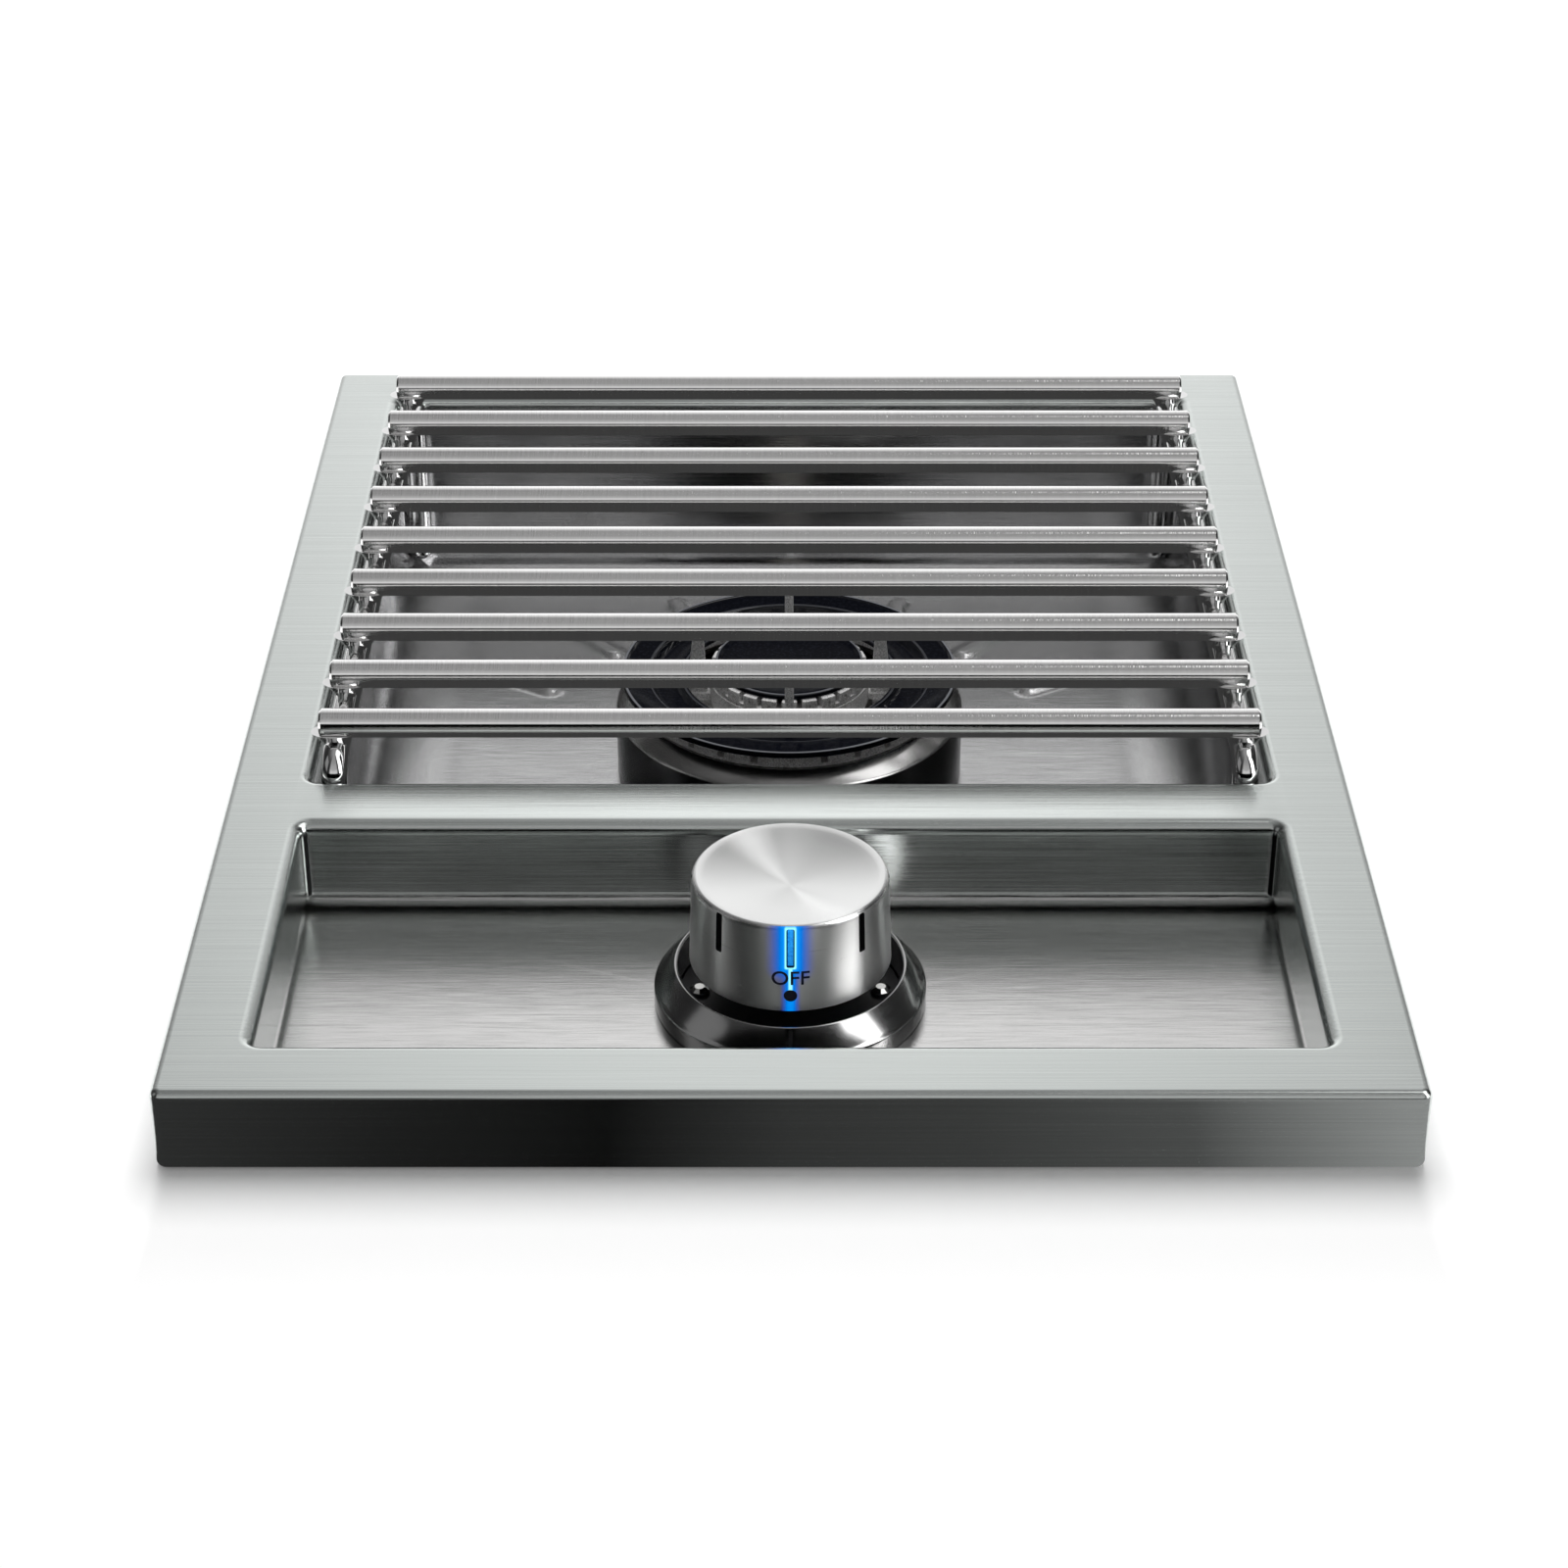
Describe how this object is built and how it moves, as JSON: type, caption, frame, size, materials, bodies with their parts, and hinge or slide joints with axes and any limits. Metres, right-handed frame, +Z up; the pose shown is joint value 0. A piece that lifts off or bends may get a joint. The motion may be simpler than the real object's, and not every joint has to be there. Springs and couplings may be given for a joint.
{
  "type": "built in side burner",
  "caption": "Drop-in outdoor side burner: steel frame with a recessed control tray, lit push-and-turn knob, deep pan, double ring burner and a lift-off rod grate.",
  "frame": {"origin": "centre of the casing's underside, which is the bottom of the whole part", "axes": "+X to the right, +Y to the back, +Z up; the knob is at the front, towards -Y"},
  "size_m": [0.34, 0.462, 0.1759],
  "materials": {
    "brushed_frame": "brushed along the width, soft satin",
    "brushed_tray": "brushed across, satin",
    "brushed_pan": "brushed floor, brighter streaks on the bends",
    "rod_steel": "fine turned satin",
    "rail_steel": "electropolished",
    "knob_steel": "spun top, satin side, engraved marks",
    "bezel_chrome": "mirror polish",
    "base_polish": "mirror polish",
    "cast_burner": "sand-blasted casting",
    "black_enamel": "glossy vitreous enamel",
    "galvanised_sheet": "galvanised, dull spangle",
    "valve_brass": "machined",
    "plated_steel": "zinc plated",
    "gas_tubing": "drawn",
    "black_plastic": "moulded, fine texture",
    "lead_sleeve": "silicone sleeve",
    "ceramic": "glazed",
    "lit_guide": "clear guide, lit blue"
  },
  "bodies": {
    "housing": {"top_frame": "brushed_frame", "control_tray": "brushed_tray", "burner_pan": "brushed_pan", "casing_left": "galvanised_sheet", "casing_right": "galvanised_sheet", "casing_front": "galvanised_sheet", "casing_rear": "galvanised_sheet", "casing_base": "galvanised_sheet", "casing_screw_left_1": "plated_steel", "casing_screw_right_1": "plated_steel", "casing_screw_left_2": "plated_steel", "casing_screw_right_2": "plated_steel", "heat_shield": "galvanised_sheet", "knob_bezel": "bezel_chrome", "bezel_cup": "black_plastic", "bezel_screw_left": "plated_steel", "bezel_screw_right": "plated_steel", "pointer_lamp": "lit_guide", "valve_bracket": "galvanised_sheet", "valve_bonnet": "valve_brass", "valve_body": "valve_brass", "bonnet_screw_left": "plated_steel", "bonnet_screw_right": "plated_steel", "return_spring": "plated_steel", "burner_base": "base_polish", "burner_mixer": "cast_burner", "injector_inner": "valve_brass", "injector_outer": "valve_brass", "inner_gas_tube": "gas_tubing", "outer_gas_tube": "gas_tubing", "inlet_fitting": "valve_brass", "supply_tube": "gas_tubing", "igniter_ceramic": "ceramic", "igniter_pin": "plated_steel", "spark_module": "black_plastic", "igniter_lead": "lead_sleeve", "lamp_lead": "black_plastic"},
    "grate": {"grate_rail_left": "rail_steel", "grate_rail_right": "rail_steel", "grate_rod_1": "rod_steel", "grate_rod_2": "rod_steel", "grate_rod_3": "rod_steel", "grate_rod_4": "rod_steel", "grate_rod_5": "rod_steel", "grate_rod_6": "rod_steel", "grate_rod_7": "rod_steel", "grate_rod_8": "rod_steel", "grate_rod_9": "rod_steel"},
    "burner_crown": {"outer_crown": "cast_burner", "inner_crown": "cast_burner"},
    "outer_cap": {"outer_cap": "black_enamel"},
    "inner_cap": {"inner_cap": "black_enamel"},
    "push_washer": {"thrust_washer": "plated_steel"},
    "knob": {"knob_shell": "knob_steel", "knob_hub": "black_plastic", "light_guide": "lit_guide", "valve_stem": "valve_brass"},
    "plug": {"valve_plug": "valve_brass"}
  },
  "joints": [
    {"name": "grate_lift", "type": "slide", "parent": "housing", "child": "grate", "axis": [0, 0, 1], "range_m": [0, 0.11]},
    {"name": "crown_lift", "type": "slide", "parent": "housing", "child": "burner_crown", "axis": [0, 0, 1], "range_m": [0, 0.02]},
    {"name": "outer_cap_lift", "type": "slide", "parent": "burner_crown", "child": "outer_cap", "axis": [0, 0, 1], "range_m": [0, 0.015]},
    {"name": "inner_cap_lift", "type": "slide", "parent": "burner_crown", "child": "inner_cap", "axis": [0, 0, 1], "range_m": [0, 0.015]},
    {"name": "knob_push", "type": "slide", "parent": "housing", "child": "push_washer", "axis": [0, 0, -1], "range_m": [0, 0.003], "stiffness_N_per_m": 1500, "springref_m": -0.004, "deforming": ["return_spring"]},
    {"name": "knob_turn", "type": "hinge", "parent": "push_washer", "child": "knob", "pos_m": [0, -0.142, 0.1726], "axis": [0, 0, 1], "range_deg": [0, 210]},
    {"name": "plug_turn", "type": "hinge", "parent": "housing", "child": "plug", "pos_m": [0, -0.142, 0.1726], "axis": [0, 0, 1], "range_deg": [0, 210]}
  ],
  "couplings": [
    {"joint": "plug_turn", "follows": "knob_turn", "ratio": 1}
  ]
}
